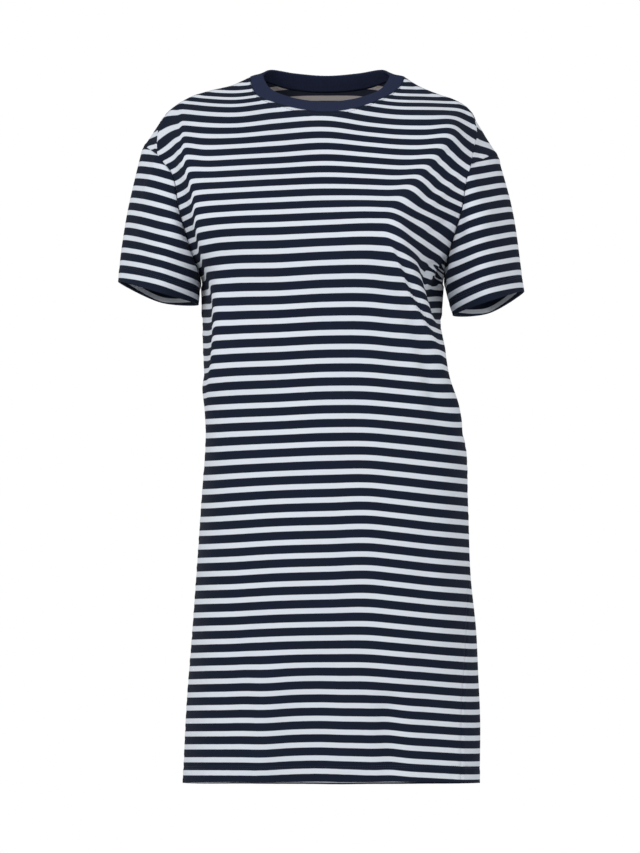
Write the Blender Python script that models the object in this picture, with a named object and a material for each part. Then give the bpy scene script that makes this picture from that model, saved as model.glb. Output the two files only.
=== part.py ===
"""A striped jersey nightshirt as it is worn: front, back, two sleeves and a neckband, hollow and open.

Metres, +Z up. The origin is level with the two high shoulder points, midway between them. The front
faces -Y. "Right" and "left" are the wearer's, so the right sleeve is at -X.
"""

import bmesh
import bpy
import numpy as np

# Driving sizes
WALL = 0.0015  # one layer of jersey
HEM_WALL = 0.0028  # the cloth turned up inside a hem
RIB_WALL = 0.0026  # the rib folded double
HEM_DEPTH = 0.020
CUFF_DEPTH = 0.020
SEAM_GAP = 0.0003
ARMHOLE_GAP = 0.0005

# Grid steps
BODY_STEPS = 20  # hem to underarm
ARMHOLE_STEPS = 12  # underarm to shoulder tip
SHOULDER_STEPS = 7  # shoulder tip to neck
NECK_STEPS = 14  # neck, across the front or the back
SLEEVE_STEPS = 10
BAND_STEPS = 4
CURVE_DETAIL = 40  # readings of a curve for each step along it

# Body sections from the hem up. A point is (x, y); tilt is how much higher the front lies, per metre of depth.
RING_COLUMNS = ("z", "tilt", "side_r", "front_r", "front", "front_l", "side_l", "flank_l",
                "back_l", "back", "back_r", "flank_r")
RINGS = (
    (-0.8553, 0.12, (-0.172, 0.004), (-0.146, -0.052), (0.000, -0.080), (0.125, -0.070),
     (0.1625, -0.050), (0.1875, 0.002), (0.160, 0.070), (0.005, 0.098), (-0.140, 0.074), (-0.167, 0.036)),
    (-0.7550, 0.08, (-0.167, 0.004), (-0.144, -0.058), (0.000, -0.099), (0.130, -0.076),
     (0.1640, -0.048), (0.1865, 0.000), (0.158, 0.074), (0.004, 0.103), (-0.138, 0.076), (-0.163, 0.038)),
    (-0.6820, 0.04, (-0.161, 0.002), (-0.141, -0.064), (0.000, -0.113), (0.138, -0.078),
     (0.1690, -0.040), (0.1825, 0.004), (0.155, 0.077), (0.003, 0.108), (-0.136, 0.078), (-0.158, 0.040)),
    (-0.5860, 0.00, (-0.154, 0.000), (-0.136, -0.069), (0.000, -0.121), (0.146, -0.074),
     (0.1720, -0.026), (0.1745, 0.012), (0.149, 0.080), (0.002, 0.113), (-0.132, 0.080), (-0.151, 0.040)),
    (-0.5130, 0.00, (-0.149, 0.000), (-0.132, -0.071), (0.000, -0.122), (0.148, -0.072),
     (0.1712, -0.018), (0.1690, 0.026), (0.142, 0.082), (0.001, 0.112), (-0.128, 0.081), (-0.146, 0.042)),
    (-0.4400, 0.00, (-0.144, 0.002), (-0.133, -0.068), (0.000, -0.122), (0.156, -0.060),
     (0.1675, -0.008), (0.1600, 0.034), (0.134, 0.083), (0.000, 0.107), (-0.124, 0.082), (-0.141, 0.044)),
    (-0.4020, 0.00, (-0.144, 0.008), (-0.137, -0.064), (0.000, -0.122), (0.150, -0.068),
     (0.1525, 0.000), (0.1480, 0.040), (0.128, 0.085), (0.000, 0.104), (-0.122, 0.084), (-0.141, 0.048)),
    (-0.3620, 0.00, (-0.146, 0.014), (-0.136, -0.074), (0.000, -0.123), (0.135, -0.083),
     (0.1385, 0.008), (0.1385, 0.046), (0.121, 0.088), (0.000, 0.104), (-0.121, 0.087), (-0.143, 0.052)),
    (-0.3200, 0.00, (-0.148, 0.018), (-0.131, -0.080), (0.000, -0.124), (0.119, -0.092),
     (0.1392, 0.014), (0.1400, 0.052), (0.120, 0.090), (0.000, 0.105), (-0.121, 0.089), (-0.145, 0.055)),
)

# Sections above the underarm, as (x, y, z): armhole, turn of the chest or shoulder blade, middle, and back again
FRONT_COLUMNS = ("armhole_r", "turn_r", "middle", "turn_l", "armhole_l")
FRONT_SECTIONS = (
    ((-0.1500, 0.012, -0.2480), (-0.127, -0.076, -0.262), (0.0, -0.124, -0.268),
     (0.099, -0.101, -0.262), (0.1440, 0.012, -0.2465)),
    ((-0.1604, -0.045, -0.2153), (-0.140, -0.076, -0.213), (0.0, -0.123, -0.215),
     (0.083, -0.112, -0.215), (0.1503, -0.040, -0.2103)),
    ((-0.1740, -0.062, -0.1660), (-0.154, -0.082, -0.165), (0.0, -0.110, -0.167),
     (0.085, -0.105, -0.163), (0.1634, -0.055, -0.1645)),
    ((-0.1835, -0.058, -0.1215), (-0.163, -0.078, -0.118), (0.0, -0.088, -0.118),
     (0.112, -0.080, -0.118), (0.1694, -0.055, -0.1287)),
    ((-0.1945, -0.050, -0.1070), (-0.170, -0.047, -0.072), (0.0, -0.070, -0.081),
     (0.150, -0.050, -0.076), (0.1728, -0.050, -0.1176)),
)
BACK_COLUMNS = ("armhole_r", "blade_r", "middle", "blade_l", "armhole_l")
BACK_SECTIONS = (
    ((-0.1500, 0.012, -0.2480), (-0.122, 0.090, -0.262), (0.0, 0.107, -0.264),
     (0.119, 0.090, -0.262), (0.1440, 0.012, -0.2465)),
    ((-0.1650, 0.055, -0.2220), (-0.135, 0.096, -0.213), (0.0, 0.110, -0.212),
     (0.132, 0.096, -0.213), (0.1580, 0.055, -0.2220)),
    ((-0.1900, 0.078, -0.1700), (-0.145, 0.104, -0.162), (0.0, 0.110, -0.160),
     (0.140, 0.104, -0.163), (0.1820, 0.078, -0.1750)),
    ((-0.2120, 0.060, -0.1150), (-0.160, 0.094, -0.105), (0.0, 0.104, -0.108),
     (0.152, 0.094, -0.107), (0.2030, 0.060, -0.1220)),
    ((-0.2208, 0.012, -0.0855), (-0.192, 0.034, -0.046), (0.0, 0.093, -0.055),
     (0.183, 0.034, -0.052), (0.2099, 0.012, -0.0955)),
)

# Shoulder seams, from the tip, where the seam comes forward, to the neck
SHOULDER_R = ((-0.2013, -0.040, -0.0977), (-0.2022, -0.025, -0.0780), (-0.1990, -0.006, -0.0565),
              (-0.1856, 0.008, -0.0380), (-0.1627, 0.015, -0.0230), (-0.1386, 0.019, -0.0150),
              (-0.1125, 0.020, -0.0085), (-0.0908, 0.020, 0.0015))
SHOULDER_L = ((0.1746, -0.045, -0.1101), (0.1795, -0.028, -0.0890), (0.1840, -0.008, -0.0670),
              (0.1745, 0.008, -0.0385), (0.1580, 0.015, -0.0270), (0.1390, 0.019, -0.0200),
              (0.1140, 0.020, -0.0095), (0.0966, 0.020, 0.0015))

# Neck seam and neck mouth, from the right high shoulder point
NECK_SEAM_FRONT = ((-0.0908, 0.020, 0.0015), (-0.0892, 0.006, -0.0100), (-0.0830, -0.008, -0.0225),
                   (-0.0613, -0.028, -0.0340), (-0.0300, -0.043, -0.0435), (0.0030, -0.048, -0.0472),
                   (0.0370, -0.042, -0.0420), (0.0665, -0.024, -0.0298), (0.0850, -0.004, -0.0180),
                   (0.0935, 0.009, -0.0080), (0.0966, 0.020, 0.0015))
NECK_SEAM_BACK = ((-0.0908, 0.020, 0.0015), (-0.0800, 0.048, 0.0020), (-0.0470, 0.073, -0.0070),
                  (0.0020, 0.080, -0.0110), (0.0510, 0.073, -0.0070), (0.0850, 0.048, 0.0020),
                  (0.0966, 0.020, 0.0015))
NECK_MOUTH_FRONT = ((-0.0755, 0.018, 0.0050), (-0.0735, 0.006, -0.0035), (-0.0655, -0.010, -0.0160),
                    (-0.0450, -0.024, -0.0262), (0.0000, -0.0335, -0.0335), (0.0460, -0.022, -0.0262),
                    (0.0670, -0.008, -0.0160), (0.0765, 0.007, -0.0035), (0.0790, 0.018, 0.0040))
NECK_MOUTH_BACK = ((-0.0755, 0.018, 0.0050), (-0.0660, 0.046, 0.0130), (-0.0370, 0.063, 0.0105),
                   (0.0020, 0.068, 0.0080), (0.0410, 0.063, 0.0105), (0.0700, 0.046, 0.0130),
                   (0.0790, 0.018, 0.0040))

# Cuff mouths, seen from the underarm forward and round
CUFF_COLUMNS = ("inner", "front", "outer", "back")
CUFFS = {
    "sleeve_right": ((-0.1530, 0.002, -0.2770), (-0.198, -0.060, -0.2645),
                     (-0.2505, 0.002, -0.2490), (-0.202, 0.058, -0.2720)),
    "sleeve_left": ((0.1550, 0.002, -0.2900), (0.194, -0.060, -0.2755),
                    (0.2415, 0.002, -0.2610), (0.202, 0.058, -0.2850)),
}
# How far a sleeve stands proud of a straight run from armhole to cuff, round the arm in the same order
SLEEVE_FULLNESS = (0.000, 0.012, 0.004, 0.010)

# Folds: a ridge is higher than the cloth round it, a trough lower. They run from (x, z) to (x, z) with
# a sideways bow. FOLD_FADE is the share of the length over which one dies away, a third of it past the end.
FOLD_COLUMNS = ("start", "end", "bow", "width", "height")
FOLD_FADE = 0.34
FRONT_FOLDS = (
    ((-0.176, -0.070), (-0.146, -0.235), 0.006, 0.014, 0.0085),  # ridge beside the right armhole
    ((-0.170, -0.130), (-0.153, -0.240), 0.004, 0.010, -0.0060),  # trough behind it
    ((0.154, -0.060), (0.088, -0.165), 0.004, 0.016, 0.0080),  # left shoulder to chest
    ((0.080, -0.170), (0.098, -0.250), -0.003, 0.014, 0.0080),  # chest, turning down
    ((0.093, -0.230), (0.132, -0.345), 0.002, 0.012, 0.0085),  # left side ridge
    ((0.130, -0.330), (0.166, -0.440), 0.002, 0.013, 0.0075),  # left side ridge, down to the hip
    ((0.118, -0.215), (0.140, -0.300), 0.000, 0.012, -0.0080),  # pocket of slack under the left arm
    ((0.082, -0.275), (0.116, -0.420), 0.003, 0.012, 0.0040),  # soft second crease
    ((-0.124, -0.235), (-0.136, -0.390), 0.003, 0.011, 0.0070),  # right side step
    ((-0.143, -0.260), (-0.143, -0.370), 0.000, 0.010, -0.0060),  # slack beside it
    ((0.074, -0.740), (0.080, -0.850), 0.000, 0.016, -0.0060),  # hem wave
    ((-0.070, -0.690), (-0.078, -0.850), 0.004, 0.022, 0.0050),  # hem wave
)
BACK_FOLDS = (
    ((-0.150, -0.110), (-0.118, -0.270), 0.006, 0.016, 0.0085),  # right armhole to blade
    ((0.142, -0.110), (0.104, -0.280), -0.006, 0.016, 0.0090),  # left armhole to blade
    ((-0.110, -0.250), (-0.072, -0.430), 0.006, 0.018, -0.0070),  # slack into the waist
    ((0.098, -0.260), (0.050, -0.450), -0.006, 0.018, -0.0075),  # slack into the waist
    ((-0.050, -0.330), (-0.030, -0.560), 0.004, 0.022, 0.0060),  # small of the back
    ((0.030, -0.350), (0.062, -0.640), -0.004, 0.020, 0.0055),  # small of the back
    ((0.110, -0.400), (0.128, -0.850), 0.004, 0.026, 0.0080),  # left hip to hem
    ((-0.096, -0.520), (-0.110, -0.860), -0.004, 0.028, 0.0080),  # right hip to hem
    ((0.010, -0.660), (0.018, -0.865), 0.003, 0.026, -0.0070),  # hem wave
)

# Finishes: linear colours, roughness, and the angle past which an edge is shaded sharp
STRIPED_JERSEY = (0.075, 0.088, 0.130, 1.0)
NAVY_RIB = (0.014, 0.020, 0.045, 1.0)
JERSEY_ROUGHNESS = 0.85
RIB_ROUGHNESS = 0.88
SHARP_EDGE = np.radians(50.0)


def smooth(knots, values, at):
    """A cubic curve through values at knots, read at the places in at."""
    knots = np.asarray(knots, float)
    values = np.asarray(values, float)
    slopes = np.gradient(values, knots, axis=0)
    low = np.clip(np.searchsorted(knots, at, side="right") - 1, 0, len(knots) - 2)
    span = (knots[low + 1] - knots[low])[:, None]
    s = ((at - knots[low]) / span[:, 0])[:, None]
    ease = s * s * (3.0 - 2.0 * s)
    leave = s * (1.0 - s) ** 2 * span
    arrive = s * s * (s - 1.0) * span
    return values[low] * (1.0 - ease) + values[low + 1] * ease + slopes[low] * leave + slopes[low + 1] * arrive


def unit(vectors):
    return vectors / np.maximum(np.linalg.norm(vectors, axis=-1, keepdims=True), 1e-12)


def chord_knots(points):
    """The running distance along a row of points."""
    return np.concatenate([[0.0], np.cumsum(np.linalg.norm(np.diff(points, axis=0), axis=1))])


def evenly(points, steps, first=0, last=None):
    """steps + 1 even places on the curve through points, between the points numbered first and last."""
    points = np.asarray(points, float)
    last = len(points) - 1 if last is None else last
    knots = chord_knots(points)
    fine = smooth(knots, points, np.linspace(knots[first], knots[last], CURVE_DETAIL * steps + 1))
    run = chord_knots(fine)
    even = np.linspace(0.0, run[-1], steps + 1)
    return np.stack([np.interp(even, run, fine[:, axis]) for axis in range(3)], axis=1)


def ring_points(ring):
    """The named points of a body section, in space."""
    row = dict(zip(RING_COLUMNS, ring))
    names = RING_COLUMNS[2:]
    return {name: (*row[name], row["z"] - row["tilt"] * row[name][1]) for name in names}


def across(points):
    """One row of a panel: shoulder, neck and shoulder columns, spaced as the top edge is."""
    columns = 2 * SHOULDER_STEPS + NECK_STEPS
    return evenly(points, columns, 1, len(points) - 2)


def open_row(section):
    """A row above the underarm, whose ends are free."""
    section = [np.array(point) for point in section]
    before = 2.0 * section[0] - section[1]
    after = 2.0 * section[-1] - section[-2]
    near_start = section[0] * 0.5 + before * 0.5
    near_end = section[-1] * 0.5 + after * 0.5
    return across([near_start, *section, near_end])


def top_row(shoulder_r, neck, shoulder_l):
    """The shoulder seam, the neck edge and the other shoulder seam as one row."""
    right = evenly(shoulder_r, SHOULDER_STEPS)
    middle = evenly(neck, NECK_STEPS)
    left = evenly(shoulder_l, SHOULDER_STEPS)[::-1]
    return np.concatenate([right, middle[1:-1], left])


def down_columns(rows, steps, first=0, last=None):
    """Curves through each column of the rows, cut into steps between the rows first and last."""
    rows = np.asarray(rows)
    return np.stack([evenly(rows[:, c], steps, first, last) for c in range(rows.shape[1])], axis=1)


def panel(rings, ring_names, sections, neck):
    """A body panel as a grid of points, hem first. Its columns run from the right side to the left."""
    lower = [across([ring_points(ring)[name] for name in ring_names]) for ring in rings]
    upper = [open_row(section) for section in sections]
    rows = lower + upper + [top_row(SHOULDER_R, neck, SHOULDER_L)]
    underarm = len(lower)
    below = down_columns(rows, BODY_STEPS, 0, underarm)
    above = down_columns(rows, ARMHOLE_STEPS, underarm)
    return np.concatenate([below[:-1], above])


def grid_normals(grid, closed=False):
    """Unit normals of a grid of points. A closed grid joins its last column to its first."""
    down = np.gradient(grid, axis=0)
    if closed:
        over = np.roll(grid, -1, axis=1) - np.roll(grid, 1, axis=1)
    else:
        over = np.gradient(grid, axis=1)
    normals = unit(np.cross(over, down))
    if not closed:
        for r, near_r in ((0, 1), (-1, -2)):
            for c, near_c in ((0, 1), (-1, -2)):
                normals[r, c] = unit(normals[r, near_c] + normals[near_r, c] + normals[near_r, near_c])
    return normals


def facing(normals, towards):
    """Normals turned to the side that towards points to."""
    return normals * np.sign((normals * towards).sum(axis=2).mean())


def fold_heights(grid, folds):
    """How far each point of a panel moves out, from the table of folds."""
    place = grid[:, :, [0, 2]]
    total = np.zeros(grid.shape[:2])
    for fold in folds:
        row = dict(zip(FOLD_COLUMNS, fold))
        start, end = np.array(row["start"]), np.array(row["end"])
        length = np.linalg.norm(end - start)
        along = (end - start) / length
        sideways = np.array([-along[1], along[0]])
        s = (place - start) @ along / length
        bow = row["bow"] * 4.0 * s * (1.0 - s)
        d = (place - start) @ sideways - bow
        ends = np.clip(np.minimum(s, 1.0 - s) / FOLD_FADE + 1.0 / 3.0, 0.0, 1.0)
        total += row["height"] * ends * ends * (3.0 - 2.0 * ends) * np.exp(-((d / row["width"]) ** 2))
    return total


def seam_mask(shape):
    """1 inside a panel and 0 on its sewn edges. The hem, the first row, is free."""
    rows, columns = shape
    from_top = np.arange(rows)[::-1][:, None] / 2.0
    from_side = np.minimum(np.arange(columns), np.arange(columns)[::-1])[None, :] / 2.0
    return np.clip(np.minimum(from_top, from_side), 0.0, 1.0)


def folded(grid, folds, towards):
    normals = facing(grid_normals(grid), towards)
    return grid + normals * (fold_heights(grid, folds) * seam_mask(grid.shape[:2]))[:, :, None]


def shrink(grid, sides, by=SEAM_GAP / 2.0):
    """Moves the sewn edges of a grid in. sides names them: first, last, left, right."""
    moved = grid.copy()
    edges = {"first": (0, slice(None)), "last": (-1, slice(None)),
             "left": (slice(None), 0), "right": (slice(None), -1)}
    beside = {"first": (1, slice(None)), "last": (-2, slice(None)),
              "left": (slice(None), 1), "right": (slice(None), -2)}
    for side in sides:
        edge = grid[edges[side]]
        along = unit(np.gradient(edge, axis=0))
        step = grid[beside[side]] - edge
        square = step - along * (step * along).sum(axis=1, keepdims=True)
        square[0], square[-1] = square[1], square[-2]
        moved[edges[side]] += by * unit(square)
    return moved


def material(name, colour, roughness):
    made = bpy.data.materials.new(name)
    made.use_nodes = True
    shader = made.node_tree.nodes["Principled BSDF"]
    shader.inputs["Base Color"].default_value = colour
    shader.inputs["Roughness"].default_value = roughness
    shader.inputs["Metallic"].default_value = 0.0
    made.diffuse_color = colour
    return made


def cloth_wall(name, outer, normals, thickness, finish, closed=False):
    """One closed solid: the outer grid, the inner grid a wall's thickness inside it, and the rims."""
    inner = outer - normals * thickness[:, None, None]
    rows, columns = outer.shape[:2]
    mesh = bpy.data.meshes.new(name)
    build = bmesh.new()
    faces_of = []
    for grid in (outer, inner):
        faces_of.append([[build.verts.new(point) for point in row] for row in grid.tolist()])
    outside, inside = faces_of
    last = columns if closed else columns - 1
    for r in range(rows - 1):
        for c in range(last):
            d = (c + 1) % columns
            build.faces.new((outside[r][c], outside[r][d], outside[r + 1][d], outside[r + 1][c]))
            build.faces.new((inside[r + 1][c], inside[r + 1][d], inside[r][d], inside[r][c]))
    for c in range(last):
        d = (c + 1) % columns
        build.faces.new((outside[0][d], outside[0][c], inside[0][c], inside[0][d]))
        build.faces.new((outside[-1][c], outside[-1][d], inside[-1][d], inside[-1][c]))
    if not closed:
        for r in range(rows - 1):
            build.faces.new((outside[r][0], outside[r + 1][0], inside[r + 1][0], inside[r][0]))
            build.faces.new((outside[r + 1][-1], outside[r][-1], inside[r][-1], inside[r + 1][-1]))
    bmesh.ops.recalc_face_normals(build, faces=build.faces)
    build.to_mesh(mesh)
    build.free()
    mesh.shade_smooth()
    mesh.set_sharp_from_angle(angle=SHARP_EDGE)
    piece = bpy.data.objects.new(name, mesh)
    piece.data.materials.append(finish)
    bpy.context.scene.collection.objects.link(piece)
    return piece


def share(first, second):
    """The first wall's direction at a seam: midway between the two, unless they are folded together."""
    agree = (first * second).sum(axis=-1, keepdims=True)
    both = first + np.clip(2.0 * agree, 0.0, 1.0) * second
    return unit(both)


def closed_curve(points, places):
    """Read the closed curve through points at fractions of its length, from the first point."""
    points = np.asarray(points, float)
    looped = np.concatenate([points[-2:], points, points[:3]])
    knots = chord_knots(looped)
    around = np.linspace(knots[2], knots[2 + len(points)], CURVE_DETAIL * len(places))
    fine = smooth(knots, looped, around)
    run = chord_knots(fine)
    return np.stack([np.interp(places * run[-1], run, fine[:, axis]) for axis in range(3)], axis=1)


def with_hem(grid):
    """A panel's grid with two more rows where its turned-up hem ends, above its first row."""
    step = unit(grid[1] - grid[0])
    inside = grid[0] + step * HEM_DEPTH
    above = grid[0] + step * (HEM_DEPTH + HEM_WALL)
    return np.concatenate([grid[:1], inside[None], above[None], grid[1:]])


def wall_of_rows(rows):
    """The wall's thickness at each row: the first two rows are the turned-up hem."""
    return np.where(np.arange(rows) < 2, HEM_WALL, WALL)


def sleeve(name, armhole):
    """A sleeve as rings of points, from the cuff to the armhole seam."""
    top_index = int(np.argmax(np.abs(armhole[:, 0])))
    run = chord_knots(np.concatenate([armhole, armhole[:1]]))
    part = run[:-1] / run[-1]
    top = part[top_index]
    places = np.where(part < top, 0.5 * part / top, 0.5 + 0.5 * (part - top) / (1.0 - top))
    cuff = closed_curve(CUFFS[name], places)
    along = unit(np.roll(armhole, -1, axis=0) - np.roll(armhole, 1, axis=0))
    drop = cuff - armhole
    clear = unit(drop - along * (drop * along).sum(axis=1, keepdims=True))
    sideways = np.array([np.sign(armhole[:, 0].mean()), 0.0, 0.0])
    start = armhole + ARMHOLE_GAP * unit(clear + sideways)
    fullness = np.interp(places, np.linspace(0.0, 1.0, 5), SLEEVE_FULLNESS + SLEEVE_FULLNESS[:1])
    length = np.linalg.norm(start - cuff, axis=1)
    hem = CUFF_DEPTH / length
    above = np.linspace(hem + HEM_WALL / length, np.ones_like(hem), SLEEVE_STEPS)
    steps = np.concatenate([np.zeros_like(hem)[None], hem[None], above])[:, :, None]
    straight = cuff * (1.0 - steps) + start * steps
    middle = straight.mean(axis=1, keepdims=True)
    out = facing(grid_normals(straight, closed=True), straight - middle)
    return straight + fullness[None, :, None] * np.sin(np.pi * steps) * out


def clear_scene():
    for old in list(bpy.data.objects):
        bpy.data.objects.remove(old, do_unlink=True)


clear_scene()
jersey = material("striped_jersey", STRIPED_JERSEY, JERSEY_ROUGHNESS)
rib = material("navy_rib", NAVY_RIB, RIB_ROUGHNESS)

# Body panels
FORWARD = np.array([0.0, -1.0, 0.0])
UP = np.array([0.0, 0.0, 1.0])
front_names = ("flank_r", "side_r", "front_r", "front", "front_l", "side_l", "flank_l")
back_names = ("front_r", "side_r", "flank_r", "back_r", "back", "back_l", "flank_l", "side_l", "front_l")
front = panel(RINGS, front_names, FRONT_SECTIONS, NECK_SEAM_FRONT)
back = panel(RINGS, back_names, BACK_SECTIONS, NECK_SEAM_BACK)
for side in (0, -1):
    seam = (front[:BODY_STEPS + 1, side] + back[:BODY_STEPS + 1, side]) / 2.0
    front[:BODY_STEPS + 1, side] = seam
    back[:BODY_STEPS + 1, side] = seam
front = with_hem(folded(front, FRONT_FOLDS, FORWARD))
back = with_hem(folded(back, BACK_FOLDS, -FORWARD))
UNDERARM = BODY_STEPS + 2

# Sleeves and neckband, whose first or last ring is the edge that they are sewn to
armholes = {
    "sleeve_right": np.concatenate([front[UNDERARM:, 0], back[:UNDERARM:-1, 0][1:]]),
    "sleeve_left": np.concatenate([front[UNDERARM:, -1], back[:UNDERARM:-1, -1][1:]]),
}
sleeves = {name: sleeve(name, armhole) for name, armhole in armholes.items()}
NECK = slice(SHOULDER_STEPS, SHOULDER_STEPS + NECK_STEPS + 1)
neck_seam = np.concatenate([front[-1, NECK], back[-1, NECK][::-1][1:-1]])
mouth = np.concatenate([evenly(NECK_MOUTH_FRONT, NECK_STEPS), evenly(NECK_MOUTH_BACK, NECK_STEPS)[::-1][1:-1]])
steps = np.linspace(0.0, 1.0, BAND_STEPS + 1)[:, None, None]
band = neck_seam * (1.0 - steps) + mouth * steps

# Which way each wall faces, shared where two are sewn
front_out = facing(grid_normals(front), FORWARD)
back_out = facing(grid_normals(back), -FORWARD)
band_out = facing(grid_normals(band, closed=True), band - band.mean(axis=(0, 1)) + 0.05 * UP)
sleeve_out = {
    name: facing(grid_normals(grid, closed=True), grid - grid.mean(axis=1, keepdims=True))
    for name, grid in sleeves.items()
}
side_rows = slice(0, UNDERARM + 1)
for edge in (0, -1):
    f, b = front_out[side_rows, edge].copy(), back_out[side_rows, edge].copy()
    front_out[side_rows, edge] = share(f, b)
    back_out[side_rows, edge] = share(b, f)
f, b = front_out[-1].copy(), back_out[-1].copy()
shoulders = np.r_[0:SHOULDER_STEPS + 1, SHOULDER_STEPS + NECK_STEPS:len(f)]
front_out[-1, shoulders] = share(f, b)[shoulders]
back_out[-1, shoulders] = share(b, f)[shoulders]
body_neck = np.concatenate([front_out[-1, NECK], back_out[-1, NECK][::-1][1:-1]])
band_edge = share(band_out[0], body_neck)
body_neck = share(body_neck, band_out[0])
band_out[0] = band_edge
front_out[-1, NECK] = body_neck[:NECK_STEPS + 1]
back_out[-1, NECK] = np.concatenate([body_neck[NECK_STEPS:], body_neck[:1]])[::-1]
for name, edge in (("sleeve_right", 0), ("sleeve_left", -1)):
    body = np.concatenate([front_out[UNDERARM:, edge], back_out[:UNDERARM:-1, edge][1:]])
    on_sleeve = sleeve_out[name][-1].copy()
    sleeve_out[name][-1] = share(on_sleeve, body)
    body = share(body, on_sleeve)
    front_out[UNDERARM + 1:, edge] = body[1:ARMHOLE_STEPS + 1]
    back_out[UNDERARM + 1:, edge] = body[ARMHOLE_STEPS:][::-1]

# Solids
sewn = ("last", "left", "right")
cloth_wall("front", shrink(front, sewn), front_out, wall_of_rows(len(front)), jersey)
cloth_wall("back", shrink(back, sewn), back_out, wall_of_rows(len(back)), jersey)
for name, grid in sleeves.items():
    cloth_wall(name, grid, sleeve_out[name], wall_of_rows(len(grid)), jersey, closed=True)
cloth_wall("neckband", shrink(band, ("first",), SEAM_GAP), band_out, np.full(len(band), RIB_WALL), rib, closed=True)
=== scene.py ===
"""A striped jersey nightshirt as it is worn: front, back, two short sleeves, rib neckband and stitching."""

import math

import bpy
import numpy as np
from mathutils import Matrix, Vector


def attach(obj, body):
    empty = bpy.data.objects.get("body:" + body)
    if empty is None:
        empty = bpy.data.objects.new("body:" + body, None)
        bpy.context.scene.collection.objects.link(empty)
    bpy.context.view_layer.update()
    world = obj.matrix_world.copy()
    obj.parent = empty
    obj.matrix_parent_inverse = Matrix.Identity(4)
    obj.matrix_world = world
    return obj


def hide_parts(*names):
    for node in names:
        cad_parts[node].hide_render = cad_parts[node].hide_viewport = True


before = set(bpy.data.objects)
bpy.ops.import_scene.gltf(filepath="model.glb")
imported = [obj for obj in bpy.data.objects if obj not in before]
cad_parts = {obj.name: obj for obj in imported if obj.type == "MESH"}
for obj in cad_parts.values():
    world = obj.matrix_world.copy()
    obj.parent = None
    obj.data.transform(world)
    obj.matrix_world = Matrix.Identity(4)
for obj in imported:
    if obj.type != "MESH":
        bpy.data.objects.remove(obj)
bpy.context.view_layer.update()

# The body's form
# Front and back are cut from one jersey and hang from the shoulders, so both follow one set of sections.
# Sizes are metres, +Z up, the front faces -Y, and the right side, as it is worn, is at -X.
WALL = 0.0015  # one layer of jersey
HEM_WALL = 0.0028  # the cloth turned up inside a hem
HEM_DEPTH = 0.02
HEM_ROWS = (0.017, 0.0195)  # the hem's two rows of stitching, up from its edge
BODY_STEPS = 140  # hem to underarm
ARMHOLE_STEPS = 84  # underarm to shoulder tip
SHOULDER_STEPS = 42  # shoulder tip to neck
NECK_STEPS = 84  # neck, across the front or the back
CURVE_DETAIL = 12
SEAM_FADE = 0.055  # how far from a seam a fold reaches its full height

RING_COLUMNS = ("z", "tilt", "side_r", "front_r", "front", "front_l", "side_l", "flank_l",
                "back_l", "back", "back_r", "flank_r")
RINGS = (
    (-0.8553, 0.12, (-0.172, 0.004), (-0.146, -0.052), (0.0, -0.08), (0.125, -0.07),
     (0.1625, -0.05), (0.1875, 0.002), (0.16, 0.07), (0.005, 0.098), (-0.14, 0.074), (-0.167, 0.036)),
    (-0.755, 0.08, (-0.167, 0.004), (-0.144, -0.058), (0.0, -0.099), (0.13, -0.076),
     (0.164, -0.048), (0.1865, 0.0), (0.158, 0.074), (0.004, 0.103), (-0.138, 0.076), (-0.163, 0.038)),
    (-0.682, 0.04, (-0.161, 0.002), (-0.141, -0.064), (0.0, -0.113), (0.138, -0.078),
     (0.169, -0.04), (0.1825, 0.004), (0.155, 0.077), (0.003, 0.108), (-0.136, 0.078), (-0.158, 0.04)),
    (-0.586, 0.0, (-0.154, 0.0), (-0.136, -0.069), (0.0, -0.121), (0.146, -0.074),
     (0.172, -0.026), (0.1745, 0.012), (0.149, 0.08), (0.002, 0.113), (-0.132, 0.08), (-0.151, 0.04)),
    (-0.513, 0.0, (-0.149, 0.0), (-0.132, -0.071), (0.0, -0.122), (0.148, -0.072),
     (0.1712, -0.018), (0.169, 0.026), (0.142, 0.082), (0.001, 0.112), (-0.128, 0.081), (-0.146, 0.042)),
    (-0.44, 0.0, (-0.144, 0.002), (-0.133, -0.068), (0.0, -0.122), (0.156, -0.06),
     (0.1675, -0.008), (0.16, 0.034), (0.134, 0.083), (0.0, 0.107), (-0.124, 0.082), (-0.141, 0.044)),
    (-0.402, 0.0, (-0.144, 0.008), (-0.137, -0.064), (0.0, -0.122), (0.15, -0.068),
     (0.1525, 0.0), (0.148, 0.04), (0.128, 0.085), (0.0, 0.104), (-0.122, 0.084), (-0.141, 0.048)),
    (-0.362, 0.0, (-0.146, 0.014), (-0.136, -0.074), (0.0, -0.123), (0.135, -0.083),
     (0.1385, 0.008), (0.1385, 0.046), (0.121, 0.088), (0.0, 0.104), (-0.121, 0.087), (-0.143, 0.052)),
    (-0.32, 0.0, (-0.148, 0.018), (-0.131, -0.08), (0.0, -0.124), (0.119, -0.092),
     (0.1392, 0.014), (0.14, 0.052), (0.12, 0.09), (0.0, 0.105), (-0.121, 0.089), (-0.145, 0.055)),
)
SHOULDER_R = ((-0.2013, -0.04, -0.0977), (-0.2022, -0.025, -0.078), (-0.199, -0.006, -0.0565),
              (-0.1856, 0.008, -0.038), (-0.1627, 0.015, -0.023), (-0.1386, 0.019, -0.015),
              (-0.1125, 0.02, -0.0085), (-0.0908, 0.02, 0.0015))
SHOULDER_L = ((0.1746, -0.045, -0.1101), (0.1795, -0.028, -0.089), (0.184, -0.008, -0.067),
              (0.1745, 0.008, -0.0385), (0.158, 0.015, -0.027), (0.139, 0.019, -0.02),
              (0.114, 0.02, -0.0095), (0.0966, 0.02, 0.0015))
UP = np.array([0.0, 0.0, 1.0])
FORWARD = np.array([0.0, -1.0, 0.0])


def eased(s):
    """A smooth step from 0 to 1."""
    return s * s * (3.0 - 2.0 * s)


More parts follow.
